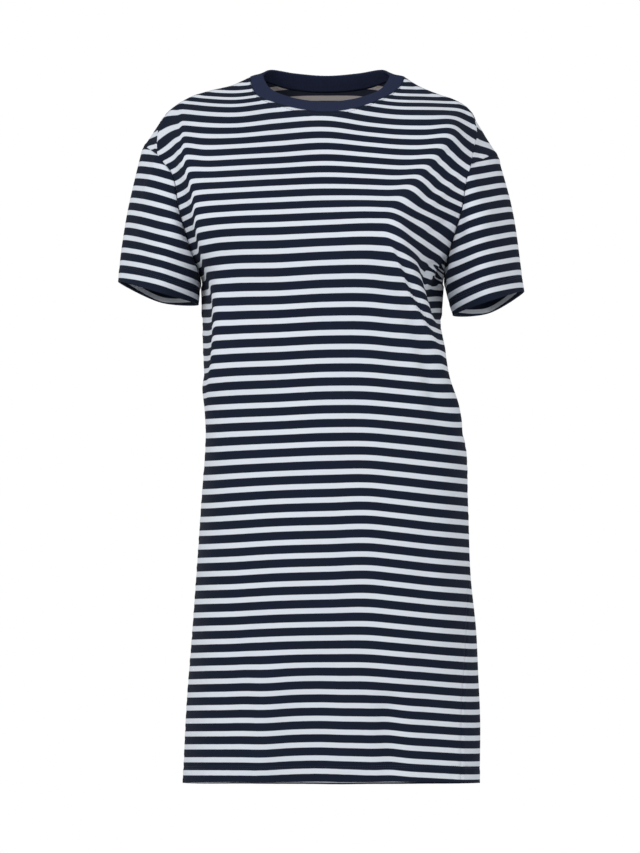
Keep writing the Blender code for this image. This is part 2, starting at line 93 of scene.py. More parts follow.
def smooth(knots, values, at):
    """A cubic curve through values at knots, read at the places in at."""
    knots = np.asarray(knots, float)
    values = np.asarray(values, float)
    slopes = np.gradient(values, knots, axis=0)
    low = np.clip(np.searchsorted(knots, at, side="right") - 1, 0, len(knots) - 2)
    span = (knots[low + 1] - knots[low])[:, None]
    s = ((at - knots[low]) / span[:, 0])[:, None]
    between = values[low] * (1.0 - eased(s)) + values[low + 1] * eased(s)
    leave = slopes[low] * s * (1.0 - s) ** 2 * span
    arrive = slopes[low + 1] * s * s * (s - 1.0) * span
    return between + leave + arrive


def unit(vectors):
    return vectors / np.maximum(np.linalg.norm(vectors, axis=-1, keepdims=True), 1e-12)


def run_along(points):
    """The running distance along a row of points."""
    return np.concatenate([[0.0], np.cumsum(np.linalg.norm(np.diff(points, axis=0), axis=1))])


def read_along(at, run, points):
    """Points read at distances along their row."""
    return np.stack([np.interp(at, run, points[:, axis]) for axis in range(3)], axis=1)


def evenly(points, steps, first=0, last=None):
    """steps + 1 even places on the curve through points, between the points numbered first and last."""
    points = np.asarray(points, float)
    last = len(points) - 1 if last is None else last
    knots = run_along(points)
    fine = smooth(knots, points, np.linspace(knots[first], knots[last], CURVE_DETAIL * steps + 1))
    run = run_along(fine)
    return read_along(np.linspace(0.0, run[-1], steps + 1), run, fine)


def ring_points(ring):
    """The named points of a body section, in space."""
    row = dict(zip(RING_COLUMNS, ring))
    return {name: (*row[name], row["z"] - row["tilt"] * row[name][1]) for name in RING_COLUMNS[2:]}


def across(points):
    """One row of a panel: shoulder, neck and shoulder columns."""
    return evenly(points, 2 * SHOULDER_STEPS + NECK_STEPS, 1, len(points) - 2)


def open_row(section):
    """A row above the underarm, whose ends are free."""
    section = [np.array(point) for point in section]
    before = section[0] * 1.5 - section[1] * 0.5
    after = section[-1] * 1.5 - section[-2] * 0.5
    return across([before, *section, after])


def top_row(shoulder_r, neck, shoulder_l):
    """The shoulder seam, the neck edge and the other shoulder seam as one row."""
    right = evenly(shoulder_r, SHOULDER_STEPS)
    middle = evenly(neck, NECK_STEPS)
    left = evenly(shoulder_l, SHOULDER_STEPS)[::-1]
    return np.concatenate([right, middle[1:-1], left])


def down_columns(rows, steps, first=0, last=None):
    """Curves through each column of the rows, cut into steps between the rows first and last."""
    rows = np.asarray(rows)
    return np.stack([evenly(rows[:, c], steps, first, last) for c in range(rows.shape[1])], axis=1)


def panel(rings, ring_names, sections, neck):
    """A body panel as a grid of points, hem first. Its columns run from the right side to the left."""
    lower = [across([ring_points(ring)[name] for name in ring_names]) for ring in rings]
    upper = [open_row(section) for section in sections]
    rows = lower + upper + [top_row(SHOULDER_R, neck, SHOULDER_L)]
    below = down_columns(rows, BODY_STEPS, 0, len(lower))
    above = down_columns(rows, ARMHOLE_STEPS, len(lower))
    return np.concatenate([below[:-1], above])


def grid_normals(grid, towards, closed=False):
    """Unit normals of a grid, on the side that towards points to. A closed grid's last column joins its
    first."""
    down = np.gradient(grid, axis=0)
    over = np.roll(grid, -1, axis=1) - np.roll(grid, 1, axis=1) if closed else np.gradient(grid, axis=1)
    normals = unit(np.cross(over, down))
    if not closed:
        for r, near_r in ((0, 1), (-1, -2)):
            for c, near_c in ((0, 1), (-1, -2)):
                normals[r, c] = unit(normals[r, near_c] + normals[near_r, c] + normals[near_r, near_c])
    return normals * np.sign((normals * towards).sum(axis=2).mean())


FOLD_COLUMNS = ("start", "end", "bow", "width", "height")
FOLD_FADE = 0.34  # the share of a fold's length over which it dies away, a third of it past the end
SLACK_WAVES = 7
SLACK_SUM = 3.0  # about how high that many waves reach together


def ridge(distance, width, place=0.0, height=1.0):
    """A smooth ridge of a width and height, at a place on the way."""
    return height * np.exp(-(((distance - place) / width) ** 2))


def fold_heights(place, folds):
    """How far each point moves out, from its place on a panel and a table of ridges and troughs."""
    total = np.zeros(place.shape[:2])
    for fold in folds:
        row = dict(zip(FOLD_COLUMNS, fold))
        start, end = np.array(row["start"]), np.array(row["end"])
        length = np.linalg.norm(end - start)
        along = (end - start) / length
        sideways = np.array([-along[1], along[0]])
        s = (place - start) @ along / length
        d = (place - start) @ sideways - row["bow"] * 4.0 * s * (1.0 - s)
        ends = np.clip(np.minimum(s, 1.0 - s) / FOLD_FADE + 1.0 / 3.0, 0.0, 1.0)
        total += eased(ends) * ridge(d, row["width"], 0.0, row["height"])
    return total


def slack(place, seed, size, height):
    """Soft uneven waves of loose jersey: a few long sine waves in drawn directions."""
    draw = np.random.default_rng(seed)
    total = np.zeros(place.shape[:2])
    for _ in range(SLACK_WAVES):
        turn = draw.uniform(-0.5, 0.5) + draw.choice([0.0, math.pi / 2.0])
        wave = np.array([math.cos(turn), math.sin(turn)]) * 2.0 * math.pi / (size * draw.uniform(0.7, 1.6))
        total += np.sin(place @ wave + draw.uniform(0.0, 2.0 * math.pi))
    return total * height / SLACK_SUM


def up_lengths(grid):
    """Each point's distance up its column, along the cloth."""
    return np.stack([run_along(grid[:, c]) for c in range(grid.shape[1])], axis=1)


def over_lengths(grid):
    """Each point's distance along its row."""
    return np.stack([run_along(row) for row in grid])


def from_edges(grid, sides):
    """The distance of each point from the nearest of the named edges, along the cloth."""
    up, over = up_lengths(grid), over_lengths(grid)
    far = {"last": up[-1:] - up, "left": over, "right": over[:, -1:] - over}
    return np.min([far[side] for side in sides], axis=0)


# Relief at seams and hems: width, distance from the line, and height
SEAM_DIP = (0.0015, 0.0, -0.0004)
SEAM_WELT = (0.0032, 0.0055, 0.0005)
SEAM_PUCKERS = (0.0055, 0.006, 0.00022)
PUCKER_WAVES = ((1.0, 0.0113, 0.0), (0.7, 0.0187, 1.3))  # share, length and start of each
DENT_WIDTH = 0.0012  # the dents that the hem's two rows of stitching press in
DENT_DEPTH = 0.0004


def ripples(along, waves):
    """Small uneven waves."""
    return sum(share * np.sin(along * 2.0 * math.pi / length + start) for share, length, start in waves)


def seam_relief(distance, along):
    """The dip at a seam, the soft welt of its allowance beside it, and the small puckers of its stitches."""
    puckers = ripples(along, PUCKER_WAVES) * ridge(distance, *SEAM_PUCKERS)
    return ridge(distance, *SEAM_WELT) + ridge(distance, *SEAM_DIP) + puckers


def hem_dents(up):
    """The dents along the hem's rows of stitching."""
    return -sum(ridge(up, DENT_WIDTH, line, DENT_DEPTH) for line in HEM_ROWS)


def at_places(grid, places, axis):
    """The grid read at fractional rows or columns."""
    low = np.clip(places.astype(int), 0, grid.shape[axis] - 2)
    part = places - low
    part = part[:, None, None] if axis == 0 else part[None, :, None]
    return np.take(grid, low, axis=axis) * (1.0 - part) + np.take(grid, low + 1, axis=axis) * part


def grid_faces(number):
    """The corners of each cell of a grid of numbers."""
    corners = [number[:-1, :-1], number[:-1, 1:], number[1:, 1:], number[1:, :-1]]
    return np.stack(corners, axis=2).reshape(-1, 4)


def in_scene(name, data):
    """A new object in the scene."""
    made = bpy.data.objects.new(name, data)
    bpy.context.scene.collection.objects.link(made)
    return made


def cloth_piece(name, points, faces, corners, cloth, outward, finishes):
    """A piece from points and faces, wound so that the first face looks outward. Its UVs are the places
    on the flat cut that the corners number."""
    a, b, c = points[faces[0][:3]]
    turn = -1 if np.dot(np.cross(b - a, c - a), outward) < 0.0 else 1
    mesh = bpy.data.meshes.new(name)
    mesh.from_pydata(points.tolist(), [], faces[:, ::turn].tolist())
    layer = mesh.uv_layers.new(name="cloth")
    layer.data.foreach_set("uv", cloth[corners[:, ::turn].ravel()].astype(np.float32).ravel())
    for finish in finishes:
        mesh.materials.append(finish)
    mesh.shade_smooth()
    return in_scene(name, mesh)


def shell(name, outer, normals, thickness, cloth, inside_cloth, hem_rows, finishes, closed=False):
    """A closed thin wall: the outer grid, the inner one a wall's thickness inside it, and the rims.
    cloth and inside_cloth hold each corner's place on the flat cut. The inside takes the second finish
    above the rows of the turned-up hem, where the face of the cloth shows."""
    inner = outer - normals * np.broadcast_to(thickness, outer.shape[:1])[:, None, None]
    rows, columns = outer.shape[:2]
    number = np.arange(rows * columns).reshape(rows, columns)
    if closed:
        number = np.concatenate([number, number[:, :1]], axis=1)
    other = number + rows * columns
    place = np.arange(number.size).reshape(number.shape)
    rims = [(other[0], number[0], place[0]), (number[-1], other[-1], place[-1])]
    if not closed:
        rims += [(number[:, 0], other[:, 0], place[:, 0]), (other[:, -1], number[:, -1], place[:, -1])]
    faces = [grid_faces(number), grid_faces(other)[:, ::-1]]
    corners = [grid_faces(place), grid_faces(place + number.size)[:, ::-1]]
    for near, far, at in rims:
        faces.append(grid_faces(np.stack([near, far])))
        corners.append(grid_faces(np.stack([at, at])))
    points = np.concatenate([outer.reshape(-1, 3), inner.reshape(-1, 3)])
    both = np.concatenate([cloth.reshape(-1, 2), inside_cloth.reshape(-1, 2)])
    piece = cloth_piece(name, points, np.concatenate(faces), np.concatenate(corners), both, normals[0, 0],
                        finishes)
    inside = np.zeros(len(piece.data.polygons), dtype=np.int32)
    above_hem = len(faces[0]) + hem_rows * (number.shape[1] - 1)
    inside[above_hem:len(faces[0]) + len(faces[1])] = len(finishes) - 1
    piece.data.polygons.foreach_set("material_index", inside)
    piece.data.validate()
    return piece


# Striped jersey
# Combed cotton single jersey, knitted in navy with a narrow white stripe. The face shows fine columns of
# stitches; the back of the knit, seen inside the cuffs and neck, is duller and greyer, and its white is
# darkened with painted shade.
PITCH = 0.0165  # one navy and one white stripe
WHITE_SHARE = 0.385
STRIPE_EDGE = 0.04  # the share of a repeat over which one colour turns to the other
WALE = 0.0011  # a column of stitches
COURSE = 0.0008  # a row of them
KNIT_DEPTH = 0.0004
NAVY = (0.0075, 0.0115, 0.0245, 1.0)
# paler navy for worn edges, random mottling and the painted highlight on fold crests
NAVY_WORN_AND_LIT = (0.015, 0.021, 0.04, 1.0)
WHITE = (0.72, 0.765, 0.83, 1.0)
WHITE_SHADE = (0.63, 0.67, 0.745, 1.0)
NAVY_REVERSE = (0.02, 0.022, 0.036, 1.0)
# the reverse's white: duller, and darkened further with the painted shade of the garment's inside
WHITE_REVERSE_SHADED = (0.42, 0.385, 0.375, 1.0)


class Socket:
    """A node's output, with sums on it as Math nodes."""

    def __init__(self, tree, link):
        self.tree = tree
        self.link = link

    def maths(self, operation, *others):
        inputs = dict(enumerate((self, *others)))
        return self.tree.node("ShaderNodeMath", {"operation": operation}, inputs)

    def __add__(self, other):
        return self.maths("ADD", other)

    def __sub__(self, other):
        return self.maths("SUBTRACT", other)

    def __rsub__(self, other):
        return self.tree.node("ShaderNodeMath", {"operation": "SUBTRACT"}, {0: other, 1: self})

    def __mul__(self, other):
        return self.maths("MULTIPLY", other)

    def __truediv__(self, other):
        return self.maths("DIVIDE", other)

    def clamped(self):
        return self.maths("MAXIMUM", 0.0).maths("MINIMUM", 1.0)

    def from_middle(self):
        """How far a repeating value is from the middle of its repeat, up to a half."""
        return self.maths("FRACT").maths("SUBTRACT", 0.5).maths("ABSOLUTE")


class Finish:
    """A material and its nodes."""

    def __init__(self, name, **constants):
        self.material = bpy.data.materials.new(name)
        self.material.use_nodes = True
        self.nodes = self.material.node_tree.nodes
        self.links = self.material.node_tree.links
        self.shader = self.nodes["Principled BSDF"]
        for socket, value in constants.items():
            self.shader.inputs[socket.replace("_", " ")].default_value = value

    def node(self, kind, settings, inputs, output=0):
        made = self.nodes.new(kind)
        for key, value in settings.items():
            setattr(made, key, value)
        for key, value in inputs.items():
            if isinstance(value, Socket):
                self.links.new(value.link, made.inputs[key])
            else:
                made.inputs[key].default_value = value
        return Socket(self, made.outputs[output])

    def mix(self, factor, first, second):
        return self.node("ShaderNodeMix", {"data_type": "RGBA"}, {0: factor, 6: first, 7: second}, 2)

    def noise(self, scale, detail=2.0):
        """Noise that is fixed to the piece's own coordinates."""
        where = self.node("ShaderNodeTexCoord", {}, {}, "Object")
        return self.node("ShaderNodeTexNoise", {}, {"Vector": where, "Scale": scale, "Detail": detail})

    def cloth_place(self):
        """Where a point lies on the flat cut, in metres: across and up."""
        where = self.node("ShaderNodeUVMap", {"uv_map": "cloth"}, {})
        parts = self.nodes.new("ShaderNodeSeparateXYZ")
        self.links.new(where.link, parts.inputs[0])
        return Socket(self, parts.outputs[0]), Socket(self, parts.outputs[1])

    def into(self, socket, value):
        self.links.new(value.link, self.shader.inputs[socket])

    def raised(self, height, strength):
        """The threads' relief, as a bump."""
        inputs = {"Strength": strength, "Distance": KNIT_DEPTH, "Height": height}
        self.into("Normal", self.node("ShaderNodeBump", {}, inputs))


def striped_jersey(name, navy, navy_worn_and_lit, white, white_shade, strength):
    """Jersey whose stripes are wavy by a part of a stitch, paler where worn at the hem and with a painted
    highlight on fold crests.
    """
    finish = Finish(name, Metallic=0.0, Specular_IOR_Level=0.06, Sheen_Weight=0.015, Sheen_Roughness=0.5)
    over, up = finish.cloth_place()
    wale = (over * (1.0 / WALE)).from_middle() * 2.0
    course = (up * (1.0 / COURSE) + wale * 0.55).from_middle() * 2.0
    uneven, cloudy, fleck = finish.noise(140.0), finish.noise(18.0, 4.0), finish.noise(900.0, 1.0)
    stripe = up * (1.0 / PITCH) + wale * 0.012 + uneven * 0.016 - 0.014
    half_white = 0.5 * WHITE_SHARE + 0.5 * STRIPE_EDGE
    is_white = ((half_white - (stripe - 0.5).from_middle()) / STRIPE_EDGE).clamped()
    wear_and_highlight = finish.node("ShaderNodeAttribute", {"attribute_name": "wear_and_highlight"}, {}, 2)
    # navy paled by edge wear, random mottling, and the painted highlight stored on fold crests
    pale = (wear_and_highlight * 0.35 + cloudy * 0.35 + fleck * 0.35 - 0.15).clamped()
    shade = (cloudy * 0.7 + (1.0 - course) * 0.25 + fleck * 0.3 - 0.25).clamped()
    navy_part, white_part = finish.mix(pale, navy, navy_worn_and_lit), finish.mix(shade, white, white_shade)
    finish.into("Base Color", finish.mix(is_white, navy_part, white_part))
    finish.into("Roughness", (cloudy * 0.1 + 0.82 - is_white * 0.04).clamped())
    finish.raised((1.0 - wale * wale) * 0.7 + (1.0 - course * course) * 0.4 + fleck * 0.5, strength)
    return finish.material


jersey_face = striped_jersey("striped_jersey", NAVY, NAVY_WORN_AND_LIT, WHITE, WHITE_SHADE, 0.35)
jersey_reverse = striped_jersey("striped_jersey_reverse", NAVY_REVERSE, NAVY_WORN_AND_LIT, WHITE_REVERSE_SHADED,
                                WHITE_REVERSE_SHADED, 0.5)
HEM_RUB = 0.6  # how worn the hem's edge is
RUB_REACH = 0.0025


def turned_up(cloth, rows):
    """The same places on the inside, where the hem's rows run back up from its edge."""
    inside = cloth.copy()
    inside[:rows + 1, :, 1] = 2.0 * cloth[:1, :, 1] - cloth[:rows + 1, :, 1]
    return inside


def crest_highlight(heights, full, share):
    """The painted highlight on crests, which is the share given where they stand full height or more."""
    return np.clip(heights / full, 0.0, 1.0) * share


def mark_wear_and_highlight(piece, crests, up):
    """Stores how pale each point is painted: real wear where the cloth rubs at its edges, and a painted
    highlight on the crests of folds.
    """
    amounts = np.clip(crests + HEM_RUB * np.exp(-up / RUB_REACH), 0.0, 1.0).ravel()
    wear_and_highlight = piece.data.attributes.new("wear_and_highlight", "FLOAT", "POINT")
    wear_and_highlight.data.foreach_set("value", np.tile(amounts, 2).astype(np.float32))


# Front panel
# Cut in one piece from hem to shoulders with level stripes, hem turned up and twin-needled. The folds run
# from the left shoulder across the chest to the underarm and down to the hip, and beside the right armhole.
FRONT_SECTIONS = (
    ((-0.15, 0.012, -0.248), (-0.127, -0.076, -0.262), (0.0, -0.124, -0.268),
     (0.099, -0.101, -0.262), (0.144, 0.012, -0.2465)),
    ((-0.1604, -0.045, -0.2153), (-0.14, -0.076, -0.213), (0.0, -0.123, -0.215),
     (0.083, -0.112, -0.215), (0.1503, -0.04, -0.2103)),
    ((-0.174, -0.062, -0.166), (-0.154, -0.082, -0.165), (0.0, -0.11, -0.167),
     (0.085, -0.105, -0.163), (0.1634, -0.055, -0.1645)),
    ((-0.1835, -0.058, -0.1215), (-0.163, -0.078, -0.118), (0.0, -0.088, -0.118),
     (0.112, -0.08, -0.118), (0.1694, -0.055, -0.1287)),
    ((-0.1945, -0.05, -0.107), (-0.17, -0.047, -0.072), (0.0, -0.07, -0.081),
     (0.15, -0.05, -0.076), (0.1728, -0.05, -0.1176)),
)
NECK_SEAM_FRONT = ((-0.0908, 0.02, 0.0015), (-0.0892, 0.006, -0.01), (-0.083, -0.008, -0.0225),
                   (-0.0613, -0.028, -0.034), (-0.03, -0.043, -0.0435), (0.003, -0.048, -0.0472),
                   (0.037, -0.042, -0.042), (0.0665, -0.024, -0.0298), (0.085, -0.004, -0.018),
                   (0.0935, 0.009, -0.008), (0.0966, 0.02, 0.0015))
FRONT_NAMES = ("flank_r", "side_r", "front_r", "front", "front_l", "side_l", "flank_l")
FRONT_FOLDS = (
    ((-0.176, -0.07), (-0.146, -0.235), 0.006, 0.014, 0.0085),
    ((-0.17, -0.13), (-0.153, -0.24), 0.004, 0.01, -0.006),
    ((0.154, -0.06), (0.088, -0.165), 0.004, 0.016, 0.008),
    ((0.08, -0.17), (0.098, -0.25), -0.003, 0.014, 0.008),
    ((0.093, -0.23), (0.132, -0.345), 0.002, 0.012, 0.0085),
    ((0.13, -0.33), (0.166, -0.44), 0.002, 0.013, 0.0075),
    ((0.118, -0.215), (0.14, -0.3), 0.0, 0.012, -0.008),
    ((0.082, -0.275), (0.116, -0.42), 0.003, 0.012, 0.004),
    ((-0.124, -0.235), (-0.136, -0.39), 0.003, 0.011, 0.007),
    ((-0.143, -0.26), (-0.143, -0.37), 0.0, 0.01, -0.006),
    ((0.074, -0.74), (0.08, -0.85), 0.0, 0.016, -0.006),
    ((-0.07, -0.69), (-0.078, -0.85), 0.004, 0.022, 0.005),
)
FRONT_CREASES = (
    ((0.0745, -0.2115), (0.1209, -0.3198), -0.003, 0.0032, 0.003),  # the left fold's hard edge
    ((0.0795, -0.2095), (0.1257, -0.3178), -0.003, 0.0032, -0.0036),
    ((0.15, -0.09), (0.112, -0.135), 0.002, 0.005, -0.0022),  # puckers above the left fold
    ((0.16, -0.12), (0.12, -0.165), 0.002, 0.005, 0.002),
    ((0.15, -0.175), (0.118, -0.2), 0.001, 0.005, -0.0024),
    ((0.146, -0.205), (0.122, -0.232), 0.001, 0.004, 0.002),
    ((0.142, -0.225), (0.132, -0.275), 0.001, 0.004, -0.0046),
    ((0.147, -0.228), (0.137, -0.262), 0.001, 0.003, 0.003),
    ((0.138, -0.222), (0.128, -0.252), 0.001, 0.003, 0.0028),
    ((0.134, -0.226), (0.124, -0.252), 0.001, 0.003, -0.0026),
    ((0.136, -0.29), (0.132, -0.345), 0.001, 0.005, 0.0022),
    ((0.11, -0.33), (0.134, -0.42), 0.002, 0.007, -0.0018),  # beside the left hip fold
    ((-0.165, -0.14), (-0.15, -0.2), 0.002, 0.005, 0.0018),  # slack at the right armhole
    ((-0.12, -0.15), (-0.126, -0.23), 0.003, 0.009, -0.0016),
    ((-0.135, -0.3), (-0.139, -0.37), 0.001, 0.005, -0.0016),
    ((-0.06, -0.42), (-0.11, -0.48), 0.004, 0.012, 0.0012),  # faint drag lines at the hips
    ((0.05, -0.44), (0.12, -0.5), -0.004, 0.012, 0.0012),
    ((-0.09, -0.56), (-0.104, -0.8), 0.004, 0.016, -0.0018),  # long soft flutes of the skirt
    ((0.118, -0.54), (0.126, -0.8), -0.004, 0.016, -0.0018),
    ((0.02, -0.7), (0.014, -0.85), 0.003, 0.018, 0.0016),
)

# Where each stripe lies at the middle of the front, seen level from four metres away
EYE_DISTANCE = 4.0
EYE_X = -0.00605
EYE_Z = -0.4241
STRIPE_LEVELS = (
    (-7, 0.022), (-5, 0.006), (-3, -0.011), (-1, -0.027), (1, -0.0514), (5, -0.1053), (10, -0.1769),
    (15, -0.2596), (20, -0.3445), (25, -0.4284), (30, -0.5129), (35, -0.5964), (40, -0.68),
    (45, -0.7612), (50, -0.8411), (52, -0.873),
)
# How far a stripe has dropped beside its middle, in millimetres, at places across the front
DROP_COLUMNS = (-0.165, -0.14, -0.11, -0.06, 0.005, 0.055, 0.085, 0.125, 0.18)
STRIPE_DROPS = (
    (-0.051, (5, 7, 8, 3, 0, 7.5, 11, 12.5, 14)),
    (-0.091, (8, 8, 6.5, 4, 0, 4, 7, 9, 11)),
    (-0.134, (8, 6.5, 5, 2.5, 0, 1, 2.5, 4, 5)),
    (-0.177, (8, 6.5, 4.5, 3, 0, -2, -1, -2, -3)),
    (-0.243, (8, 7, 4.5, 3.5, 0, 0, 3, 3, 3)),
    (-0.311, (8, 7, 5, 3, 0, 0.5, 3.5, 7, 9)),
    (-0.412, (7.5, 6.5, 5, 3, 0, 0.5, 3, 7, 14)),
    (-0.513, (7.5, 7, 5, 2, 0, -1, 2, 6.5, 12)),
    (-0.613, (7, 6, 5, 2, 0, -1, 2, 6.5, 11)),
    (-0.745, (4, 3.5, 3, 1, 0, 1, 3, 6, 10)),
    (-0.841, (2, 2, 2, 1, 0, 2, 3, 5, 8)),
)
# The crests of the big folds: height, place across, how steeply stripes run down beyond, and the step at the
# crest itself, in metres
LEFT_CREST = (
    (-0.04, 0.163, 0.35, 0.0), (-0.063, 0.154, 0.42, 0.0), (-0.088, 0.14, 0.48, 0.0),
    (-0.111, 0.12, 0.48, 0.0), (-0.137, 0.099, 0.47, 0.0), (-0.16, 0.08, 0.43, 0.0),
    (-0.18, 0.074, 0.46, 0.0), (-0.2, 0.077, 0.55, 0.001), (-0.225, 0.086, 0.66, 0.003),
    (-0.261, 0.1, 0.7, 0.005), (-0.296, 0.117, 0.7, 0.005), (-0.34, 0.135, 0.5, 0.004),
    (-0.39, 0.152, 0.2, 0.001), (-0.435, 0.172, 0.0, 0.0),
)
LEFT_SLACK = (  # the pocket below the left armhole, where stripes run level again
    (-0.235, 0.128, 0.0, 0.0), (-0.262, 0.128, -0.7, 0.0), (-0.33, 0.133, -0.62, 0.0),
    (-0.37, 0.146, 0.0, 0.0),
)
RIGHT_CREST = (
    (-0.04, -0.176, 0.05, 0.001), (-0.057, -0.1755, 0.2, 0.003), (-0.084, -0.17, 0.36, 0.006),
    (-0.114, -0.164, 0.4, 0.007), (-0.145, -0.157, 0.42, 0.008), (-0.18, -0.153, 0.42, 0.01),
    (-0.215, -0.1515, 0.4, 0.01), (-0.235, -0.146, 0.36, 0.01), (-0.262, -0.137, 0.36, 0.009),
    (-0.3, -0.131, 0.32, 0.006), (-0.35, -0.135, 0.25, 0.003), (-0.42, -0.145, 0.0, 0.0),
)
CREST_STEP = 0.002  # how wide the step at a crest is
# Each crest with the side on which it falls and how softly it turns
CRESTS = ((LEFT_CREST, 1.0, 0.003), (LEFT_SLACK, 1.0, 0.002), (RIGHT_CREST, -1.0, 0.006))
GATHER_ACROSS = (0.008, 0.1395, 0.008)  # where the left armhole is bunched: width, place and depth
GATHER_UP = (0.014, -0.24)
GATHER_WAVE = 0.009
GATHER_SLANT = 0.6


def read_down(table, column, at):
    """A column of a table whose first column falls, read at heights."""
    flipped = table[::-1]
    return np.interp(at, [row[0] for row in flipped], [row[column] for row in flipped])


def front_stripes(grid):
    """The number of the stripe at each point of the front, counted down from the neck."""
    nearer = EYE_DISTANCE / (EYE_DISTANCE + grid[:, :, 1])
    x = (EYE_X + (grid[:, :, 0] - EYE_X) * nearer).ravel()
    z = (EYE_Z + (grid[:, :, 2] - EYE_Z) * nearer).ravel()
    curves = [smooth(DROP_COLUMNS, np.array(drops)[:, None] / 1000.0, x)[:, 0] for _, drops in STRIPE_DROPS]
    heights = np.array([row[0] for row in STRIPE_DROPS])
    low = np.clip(np.searchsorted(-heights, -z, side="right") - 1, 0, len(heights) - 2)
    part = np.clip((z - heights[low]) / (heights[low + 1] - heights[low]), 0.0, 1.0)
    curves = np.stack(curves)
    each = np.arange(len(x))
    level = z + curves[low, each] * (1.0 - part) + curves[low + 1, each] * part
    for crest, side, soft in CRESTS:
        beyond = side * (x - read_down(crest, 1, z))
        level += read_down(crest, 2, z) * soft * np.logaddexp(0.0, beyond / soft)
        level += read_down(crest, 3, z) * 0.5 * (1.0 + np.tanh(beyond / CREST_STEP))
    gather = ridge(x, *GATHER_ACROSS) * ridge(z, *GATHER_UP)
    level += gather * np.sin((x + GATHER_SLANT * z) * 2.0 * math.pi / GATHER_WAVE)
    knots = np.array([height for _, height in STRIPE_LEVELS])[::-1]
    numbers = np.array([[float(n)] for n, _ in STRIPE_LEVELS])[::-1]
    return smooth(knots, numbers, level)[:, 0].reshape(grid.shape[:2])


def cloth_across(grid):
    """The distance of each point from the panel's middle, along the cloth."""
    over = over_lengths(grid)
    return over - over[:, [over.shape[1] // 2]]


def moved(grid, towards, heights):
    """The grid moved out along its normals, and the new normals."""
    grid = grid + grid_normals(grid, towards) * heights[:, :, None]
    return grid, grid_normals(grid, towards)


CREASE_FADE = 0.01  # how far from a seam a crease reaches its full height
PANEL_SLACK = (0.16, 0.001)  # size and height
FOLD_HIGHLIGHT = (0.01, 0.5)  # the fold height that takes the full painted highlight, and how much
# the crease height that takes the full painted highlight, and how much
CREASE_HIGHLIGHT = (0.003, 0.3)


def body_panel(grid, folds, creases, towards, seed):
    """A body panel's grid with its folds and creases, and the painted highlight on their crests."""
    place = grid[:, :, [0, 2]]
    inland = from_edges(grid, ("left", "right", "last"))
    free = eased(np.clip(inland / SEAM_FADE, 0.0, 1.0))
    near = np.clip(inland / CREASE_FADE, 0.0, 1.0)
    big, small = fold_heights(place, folds), fold_heights(place, creases)
    heights = big * free + small * near + slack(place, seed, *PANEL_SLACK) * free
    return moved(grid, towards, heights)[0], crest_highlight(big, *FOLD_HIGHLIGHT) + crest_highlight(small, *CREASE_HIGHLIGHT)


EDGE_COLUMNS = 4  # columns from a side seam that are cut finer
EXTRA_COLUMNS = 6  # how many more columns that makes at each side
HEM_CUT = 8  # rows from the hem that are cut finer
HEM_CUT_FINE = 24  # the rows that makes of them
HEM_SWELL = (0.007, 0.55 * HEM_DEPTH, 0.00025)  # the turned-up cloth stands out: width, place and height
HEM_WAVES = ((0.72, 0.0131, 0.0), (0.576, 0.0217, 0.9))


def with_edges(grid, towards):
    """The panel cut finer along its hem and sides, with the seam welts and the hem's stitched line."""
    hem = np.linspace(0.0, HEM_CUT, HEM_CUT_FINE + 1)
    rows = np.concatenate([hem, np.arange(HEM_CUT + 1.0, grid.shape[0])])
    last = grid.shape[1] - 1.0
    near = np.linspace(0.0, EDGE_COLUMNS, EDGE_COLUMNS + EXTRA_COLUMNS + 1)
    columns = np.concatenate([near, np.arange(EDGE_COLUMNS + 1.0, last - EDGE_COLUMNS), last - near[::-1]])
    values = at_places(at_places(grid, rows, 0), columns, 1)
    points = values[:, :, :3]
    up, over = up_lengths(points), over_lengths(points)
    relief = seam_relief(from_edges(points, ("left", "right")), up)
    relief += seam_relief(from_edges(points, ("last",)), over) + hem_dents(up)
    relief += (1.0 + ripples(over, HEM_WAVES)) * ridge(up, *HEM_SWELL)
    points, normals = moved(points, towards, relief)
    return points, normals, values[:, :, 3:], up


front = panel(RINGS, FRONT_NAMES, FRONT_SECTIONS, NECK_SEAM_FRONT)

# Back panel
# The same cut with a higher neckline. It wraps further round the left side, where its seam shows near the
# hem. Its folds aren't in view in the picture, so they are like the front's: from the armholes to the waist.
BACK_SECTIONS = (
    ((-0.15, 0.012, -0.248), (-0.122, 0.09, -0.262), (0.0, 0.107, -0.264),
     (0.119, 0.09, -0.262), (0.144, 0.012, -0.2465)),
    ((-0.165, 0.055, -0.222), (-0.135, 0.096, -0.213), (0.0, 0.11, -0.212),
     (0.132, 0.096, -0.213), (0.158, 0.055, -0.222)),
    ((-0.19, 0.078, -0.17), (-0.145, 0.104, -0.162), (0.0, 0.11, -0.16),
     (0.14, 0.104, -0.163), (0.182, 0.078, -0.175)),
    ((-0.212, 0.06, -0.115), (-0.16, 0.094, -0.105), (0.0, 0.104, -0.108),
     (0.152, 0.094, -0.107), (0.203, 0.06, -0.122)),
    ((-0.2208, 0.012, -0.0855), (-0.192, 0.034, -0.046), (0.0, 0.093, -0.055),
     (0.183, 0.034, -0.052), (0.2099, 0.012, -0.0955)),
)
NECK_SEAM_BACK = ((-0.0908, 0.02, 0.0015), (-0.08, 0.048, 0.002), (-0.047, 0.073, -0.007),
                  (0.002, 0.08, -0.011), (0.051, 0.073, -0.007), (0.085, 0.048, 0.002),
                  (0.0966, 0.02, 0.0015))
BACK_NAMES = ("front_r", "side_r", "flank_r", "back_r", "back", "back_l", "flank_l", "side_l", "front_l")
